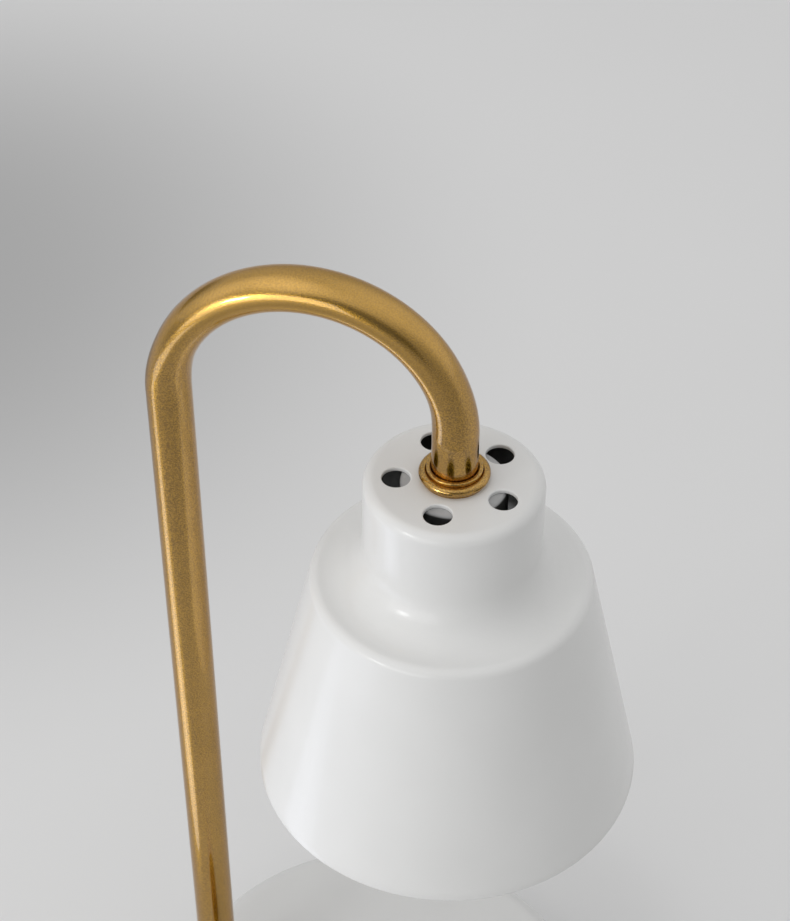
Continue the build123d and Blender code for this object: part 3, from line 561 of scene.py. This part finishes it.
def cone_edge():
    """Middle of the shoulder's rounding, and the cone's slope from upright, in radians, from there to the mouth."""
    edge_r, edge_z = CROWN_R + COVE_R, PLATE_Z - NECK_DROP - COVE_R - SHOULDER_EDGE
    slope = 0.2                         # a first guess, which each round makes better
    for _ in range(8):
        run = MOUTH_R - (edge_r + SHOULDER_EDGE * cos(slope))
        drop = edge_z + SHOULDER_EDGE * sin(slope) - (PLATE_Z - SHADE_H)
        slope = atan2(run, drop)
    return edge_r, edge_z, slope


def shade_outline(t):
    """Outer skin of the shade, or its inner skin at a depth t, from the crown's edge to the mouth."""
    edge_r, edge_z, slope = cone_edge()
    top, low = PLATE_Z - CROWN_EDGE, PLATE_Z - NECK_DROP
    points = arc(CROWN_R - CROWN_EDGE, top, CROWN_EDGE - t, 90, 0, EDGE_STEPS)
    points += [(CROWN_R - t, top + (low - top) * i / NECK_STEPS) for i in range(1, NECK_STEPS)]
    points += arc(edge_r, low, COVE_R + t, 180, 270, COVE_STEPS)
    points += arc(edge_r, edge_z, SHOULDER_EDGE - t, 90, degrees(slope), EDGE_STEPS)
    start = points[-1]
    end = (MOUTH_R - t * cos(slope), PLATE_Z - SHADE_H - t * sin(slope))
    for i in range(1, CONE_STEPS + 1):
        points.append(tuple(s + (e - s) * i / CONE_STEPS for s, e in zip(start, end)))
    return points


def add_hole(bm, x, y, r, around=64):
    """Wall of a round hole through the shade's top; gives its upper and its lower ring."""
    upper_edge, lower_edge = HOLE_EDGE, HOLE_EDGE / 2
    upper = arc(-r - upper_edge, PLATE_Z - upper_edge, upper_edge, 90, 0, 6)
    lower = arc(-r - lower_edge, PLATE_Z - SHADE_T + lower_edge, lower_edge, 0, -90, 4)
    wall = [(r + upper_edge + SUPPORT, PLATE_Z)]
    wall += [(-u, w) for u, w in upper + lower]
    wall.append((r + lower_edge + SUPPORT, PLATE_Z - SHADE_T))
    rings = add_rings(bm, tidy_outline(wall), x, y, around, closed=False)
    return rings[0], rings[-1]


def fill_plate(bm, rings, z_up):
    """Fill the flat top between its outer ring and the rings of its holes."""
    edges = []
    for ring in rings:
        for pair in zip(ring, ring[1:] + ring[:1]):
            edges.append(bm.edges.get(pair) or bm.edges.new(pair))
    made = bmesh.ops.triangle_fill(bm, use_beauty=True, use_dissolve=False, edges=edges)
    faces = [f for f in made["geom"] if isinstance(f, bmesh.types.BMFace)]
    for face in faces:
        face.normal_update()
        if (face.normal.z > 0) != z_up:
            face.normal_flip()


def shade(around=256):
    """The pressed shell with its hem and holes; its inner skin takes a paint that turns to painted shade up in the
    neck.
    """
    bm = bmesh.new()
    outside, inside = shade_outline(0), shade_outline(SHADE_T)
    flat_r = CROWN_R - CROWN_EDGE - SUPPORT
    hem_z = PLATE_Z - SHADE_H
    outline = [(flat_r, PLATE_Z)] + outside[:-1] + arc(MOUTH_R - HEM_R, hem_z, HEM_R, 0, -200, EDGE_STEPS)
    inside = [p for p in inside[::-1] if p[1] > hem_z + HEM_R]
    inside.append((flat_r, PLATE_Z - SHADE_T))
    rings = add_rings(bm, tidy_outline(outline + inside), SHADE_X, 0, around, closed=False)
    top_rings, low_rings = [rings[0]], [rings[-1]]
    inner = {v for ring in rings[1 - len(inside):] for v in ring}

    turns = [VENT_PHASE + 2 * pi * i / VENT_COUNT for i in range(VENT_COUNT)]
    holes = [(SHADE_X + VENT_PCR * cos(a), VENT_PCR * sin(a), VENT_R) for a in turns]
    for x, y, r in holes + [(SHADE_X, 0, STEM_HOLE_R)]:
        top, low = add_hole(bm, x, y, r)
        top_rings.append(top)
        low_rings.append(low)
        inner.update(low)
    fill_plate(bm, top_rings, True)
    fill_plate(bm, low_rings, False)
    for face in bm.faces:
        face.material_index = int(inner.issuperset(face.verts))
    shell = finish_mesh("shade_shell", bm, PAINT, "lamp", ["shade"], crease=50)
    shell.data.materials.append(INSIDE_PAINT_AND_SHADE)
    return shell


# ------------------------------------------------------------------ turned brass
def collar():
    """Ring with a round bead and, above it, a thin lip round the tube."""
    z, seat = PLATE_Z, PLATE_Z + TUBE_SEAT
    foot_r = COLLAR_R - 0.0009
    bead_r, bead_h = 0.0012, 0.0030
    bead_z = z + bead_h - bead_r
    lip_r, lip_z, lip_round = 0.0073, z + 0.0039, 0.00035
    inner = TUBE_R + 0.00016
    corner = [(lip_r + 0.0001, z + bead_h - 0.0006), (lip_r, z + bead_h - 0.0004)]
    outline = [(STEM_HOLE_R, z), (foot_r, z), (foot_r, bead_z - bead_r)]
    outline += arc(COLLAR_R - bead_r, bead_z, bead_r, -75, 115, 20)
    outline += corner
    outline += arc(lip_r - lip_round, lip_z - lip_round, lip_round, 0, 90, 6)
    outline += arc(inner + lip_round, lip_z - lip_round, lip_round, 90, 180, 6)
    outline += [(inner, seat), (STEM_HOLE_R, seat)]
    return turned("collar", outline, SHADE_X, 0, BRASS, "lamp", ["shade_collar"], 160)


def foot_ring():
    """Ring at the post's foot, with a rounded outer edge and a low raised rim round the tube."""
    low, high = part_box("foot_flange")
    r = half_width("foot_flange")
    z, top = low[2], high[2]
    seat = z + 0.0015
    inner = TUBE_R + 0.0001
    chamfer, edge, lip = 0.0003, 0.002, 0.0004
    rim_start = [(TUBE_R + 0.0032, top - 0.0004), (TUBE_R + 0.0029, top - 0.0001)]
    outline = [(STEM_HOLE_R, z), (r - chamfer, z), (r, z + chamfer)]
    outline += arc(r - edge, top - edge - lip, edge, 0, 90, 12)
    outline += rim_start
    outline += arc(TUBE_R + 0.0025, top - lip, lip, 60, 90, 4)
    outline += arc(inner + lip, top - lip, lip, 90, 180, 6)
    outline += [(inner, seat), (STEM_HOLE_R, seat)]
    return turned("foot_ring", outline, POST_X, 0, BRASS, "lamp", ["foot_flange"], 160)


# ------------------------------------------------------------------ bulb
def flare(start, end, steps):
    """Curve between two (radius, height) points that leaves and arrives nearly upright."""
    run = hypot(end[0] - start[0], end[1] - start[1])
    leave, arrive = Vector((0.24, -0.97)) * run, Vector((0.33, -0.94)) * run
    a, b = Vector(start), Vector(end)
    points = []
    for i in range(steps + 1):
        t = i / steps
        p = a * (2 * t**3 - 3 * t**2 + 1) + leave * (t**3 - 2 * t**2 + t) + b * (3 * t**2 - 2 * t**3) \
            + arrive * (t**3 - t**2)
        points.append((p.x, p.y))
    return points


def reflector_outline():
    """Outline of the reflector, and the number of its points before the faceted inside."""
    low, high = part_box("bulb_reflector")
    stub_z, skirt_z, mouth_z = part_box("bulb_base")[0][2], high[2], low[2]
    rim_z, floor_z = mouth_z + 0.003, stub_z - BULB_WALL
    throat_r = half_width("bulb_capsule") + 0.001
    neck_r = half_width("bulb_base") + 0.00005
    rim_r = half_width("bulb_reflector")
    inner_r, skirt_r = rim_r - BULB_WALL, neck_r + BULB_WALL
    edge = 0.0004
    outline = [(throat_r, stub_z), (neck_r, stub_z), (neck_r, skirt_z), (skirt_r - edge, skirt_z)]
    outline += arc(skirt_r - edge, skirt_z - edge, edge, 90, 0, 4)[1:]
    outline += flare((skirt_r, stub_z), (rim_r, rim_z), 24)
    outline += arc(rim_r - edge, mouth_z + edge, edge, 0, -90, 4)
    outline += arc(inner_r + edge, mouth_z + edge, edge, -90, -180, 4)
    first = len(outline)
    outline += flare((neck_r, floor_z), (inner_r, rim_z), FACET_RINGS)[::-1]
    outline.append((throat_r, floor_z))
    return outline, first


def bulb_reflector():
    """Pressed reflector: smooth outside, flat facets in rings inside, with a throat for the capsule."""
    x, y = centre_xy("bulb_reflector")
    outline, first = reflector_outline()
    around = 2 * FACETS
    bm = bmesh.new()
    rings = add_rings(bm, outline, x, y, around)
    # Every other vertex moves in onto the line between its neighbours, which makes flat facets
    for ring in rings[first:first + FACET_RINGS + 1]:
        for v in ring[1::2]:
            v.co.x = x + (v.co.x - x) * cos(pi / FACETS)
            v.co.y = y + (v.co.y - y) * cos(pi / FACETS)
    piece = finish_mesh("reflector", bm, MIRROR, "bulb", ["bulb_reflector"])
    for polygon in piece.data.polygons[first * around:(first + FACET_RINGS) * around]:
        polygon.use_smooth = False
    return piece


def front_glass():
    """Disc with rounded edges and fine concentric ridges on its inner side."""
    low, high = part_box("bulb_lens")
    x, y = centre_xy("bulb_lens")
    r, edge, margin = half_width("bulb_lens"), 0.0003, 0.0012
    pitch, depth, steps = 0.0015, 0.00015, 6
    outline = [(0, low[2]), (r - edge, low[2])] + arc(r - edge, low[2] + edge, edge, -90, 0, 4)[1:]
    outline += arc(r - edge, high[2] - edge, edge, 0, 90, 4)
    ridge_r = r - margin
    while ridge_r > 2 * pitch:
        outline += [(ridge_r - pitch * k / steps, high[2] - depth * sin(pi * k / steps)) for k in range(steps)]
        ridge_r -= pitch
    outline += [(ridge_r, high[2]), (0, high[2])]
    return turned("front_glass", outline, x, y, CLEAR, "bulb", ["bulb_lens"], 120, crease=60)


# ------------------------------------------------------------------ floor
FLOOR_R = 15.0
FLOOR_FRONT_SHADE = (-0.28, 0.02)             # between these y the painted shade on the table fades out towards the rear
FLOOR_SHADOW = (-0.36, 0.36, 0)          # middle of the painted shadow patch
FLOOR_SHADOW_EDGE = (0.06, 0.36)         # distances from it between which the painted shadow fades


def floor_material():
    """Pale table top with painted shade: darker a little towards the front, and a soft painted shadow in a patch at
    the left rear.
    """
    n = Nodes("floor")
    # painted shade towards the front of the table
    front_shade = n.spread(n.axis("Y"), 0.62, 1.0, *FLOOR_FRONT_SHADE)
    # painted shadow in a soft patch at the left rear
    shadow_patch = n.add("ShaderNodeVectorMath", operation="DISTANCE")
    shadow_patch.inputs[1].default_value = FLOOR_SHADOW
    n.link(n.place, shadow_patch.inputs[0])
    rear_shadow = n.spread(shadow_patch.outputs["Value"], 0.58, 0.97, *FLOOR_SHADOW_EDGE, "SMOOTHSTEP")
    drift = n.spread(n.noise(3, 2), 0.79, 0.81)
    n.colour(n.math("MULTIPLY", n.math("MULTIPLY", front_shade, rear_shadow), drift))
    n.roughness(n.spread(n.noise(900, 2), 0.55, 0.65))
    n.set("Specular IOR Level", 0.25)
    return n.mat


def add_floor():
    bm = bmesh.new()
    bmesh.ops.create_circle(bm, cap_ends=True, segments=128, radius=FLOOR_R)
    mesh = bpy.data.meshes.new("floor")
    bm.to_mesh(mesh)
    bm.free()
    mesh.materials.append(floor_material())
    floor = bpy.data.objects.new("floor", mesh)
    bpy.context.scene.collection.objects.link(floor)


# ------------------------------------------------------------------ light
WINDOW_AIM = Vector((0, 0, 0.28))       # what the windows face, at the height where the bend starts
# Azimuth and height in degrees, distance in metres, width and tallness in degrees, radiance
WINDOWS = {
    "window_core": (-38, 10, 1.2, 11.5, 7, 14.0),
    "window_left": (-45, 0, 1.3, 22, 38, 1.35),
    "window_right": (-18, 6, 1.3, 34, 28, 1.7),
}
GLOW_TURN = radians(12)
GLOW_TINT = (0.80, 0.845, 1.0)
# Place, width and depth in metres, radiance; the streak lies over the near glow
TABLE_GLOWS = {
    "glow_near": ((-0.27, -0.103, 0.004), 0.34, 0.11, 1.26),
    "glow_streak": ((-0.228, -0.091, 0.006), 0.21, 0.018, 0.84),
    "glow_far": ((-0.48, -0.36, 0.004), 0.34, 0.50, 1.08),
}
ROOM_LEVEL = 0.60
# Lighter and darker patches of the room: azimuth, height, inner and outer half-angle, change of brightness
ROOM_PATCHES = [
    (-68, 48, 12, 46, 0.42),
    (-95, 10, 10, 35, 0.05),
    (-10, 62, 10, 40, 0.15),
    (115, 30, 20, 60, 0.16),
    (10, 14, 14, 38, -0.40),
    (62, 6, 12, 42, -0.26),
    (-122, -4, 6, 24, -0.40),
    (-48, 30, 4, 20, -0.25),
    (180, 0, 15, 50, -0.10),
    (0, 90, 15, 50, 0.08),
]


def toward(azimuth, height):
    """Unit vector at an azimuth right of straight in front and a height, in degrees."""
    a, e = radians(azimuth), radians(height)
    return Vector((sin(a) * cos(e), -cos(a) * cos(e), sin(e)))


def add_area_light(name, shape, size, power, matrix, tint=(1, 1, 1)):
    """Area light that the camera doesn't see."""
    data = bpy.data.lights.new(name, "AREA")
    data.shape = shape
    data.size, data.size_y = size
    data.energy = power
    data.color = tint
    light = bpy.data.objects.new(name, data)
    light.visible_camera = False
    light.matrix_world = matrix
    bpy.context.scene.collection.objects.link(light)


def add_window(name, azimuth, height, reach, wide, tall, radiance):
    """Area light of an angular size in degrees, aimed at the lamp, with an even radiance."""
    out = toward(azimuth, height)
    size = [2 * reach * tan(radians(angle / 2)) for angle in (wide, tall)]
    turn = out.to_track_quat("Z", "Y").to_matrix().to_4x4()
    matrix = Matrix.Translation(WINDOW_AIM + out * reach) @ turn
    add_area_light(name, "RECTANGLE", size, radiance * pi * size[0] * size[1], matrix)


def add_table_glow(name, place, wide, deep, radiance):
    """Cool light that a sunlit patch of the table sends up on the left."""
    turn = Matrix.Rotation(GLOW_TURN, 4, "Z") @ Matrix.Rotation(pi, 4, "X")
    matrix = Matrix.Translation(place) @ turn
    area = pi / 4 * wide * deep
    add_area_light(name, "ELLIPSE", (wide, deep), radiance * pi * area, matrix, GLOW_TINT)


def add_room():
    """World that is soft and even, with brighter and darker sides as in a room with a window."""
    world = bpy.data.worlds.new("room")
    bpy.context.scene.world = world
    world.use_nodes = True
    tree = world.node_tree
    coord = tree.nodes.new("ShaderNodeTexCoord")
    level = None
    for azimuth, height, inner, outer, brightness in ROOM_PATCHES:
        dot = tree.nodes.new("ShaderNodeVectorMath")
        dot.operation = "DOT_PRODUCT"
        dot.inputs[1].default_value = toward(azimuth, height)
        tree.links.new(coord.outputs["Generated"], dot.inputs[0])
        edge = tree.nodes.new("ShaderNodeMapRange")
        edge.interpolation_type = "SMOOTHSTEP"
        edge.inputs["From Min"].default_value = cos(radians(outer))
        edge.inputs["From Max"].default_value = cos(radians(inner))
        edge.inputs["To Max"].default_value = brightness
        tree.links.new(dot.outputs["Value"], edge.inputs["Value"])
        add = tree.nodes.new("ShaderNodeMath")
        add.operation = "ADD"
        add.inputs[0].default_value = ROOM_LEVEL
        if level:
            tree.links.new(level, add.inputs[0])
        tree.links.new(edge.outputs["Result"], add.inputs[1])
        level = add.outputs[0]
    background = tree.nodes["Background"]
    background.inputs["Color"].default_value = (1, 1, 1, 1)
    tree.links.new(level, background.inputs["Strength"])


# ------------------------------------------------------------------ the scene
add_camera()
dress_nodes()
bulb_reflector()
front_glass()
bent_tube()
shade()
collar()
foot_ring()
add_floor()
add_room()
for name, window in WINDOWS.items():
    add_window(name, *window)
for name, glow in TABLE_GLOWS.items():
    add_table_glow(name, *glow)
bpy.context.scene.view_settings.view_transform = "Standard"
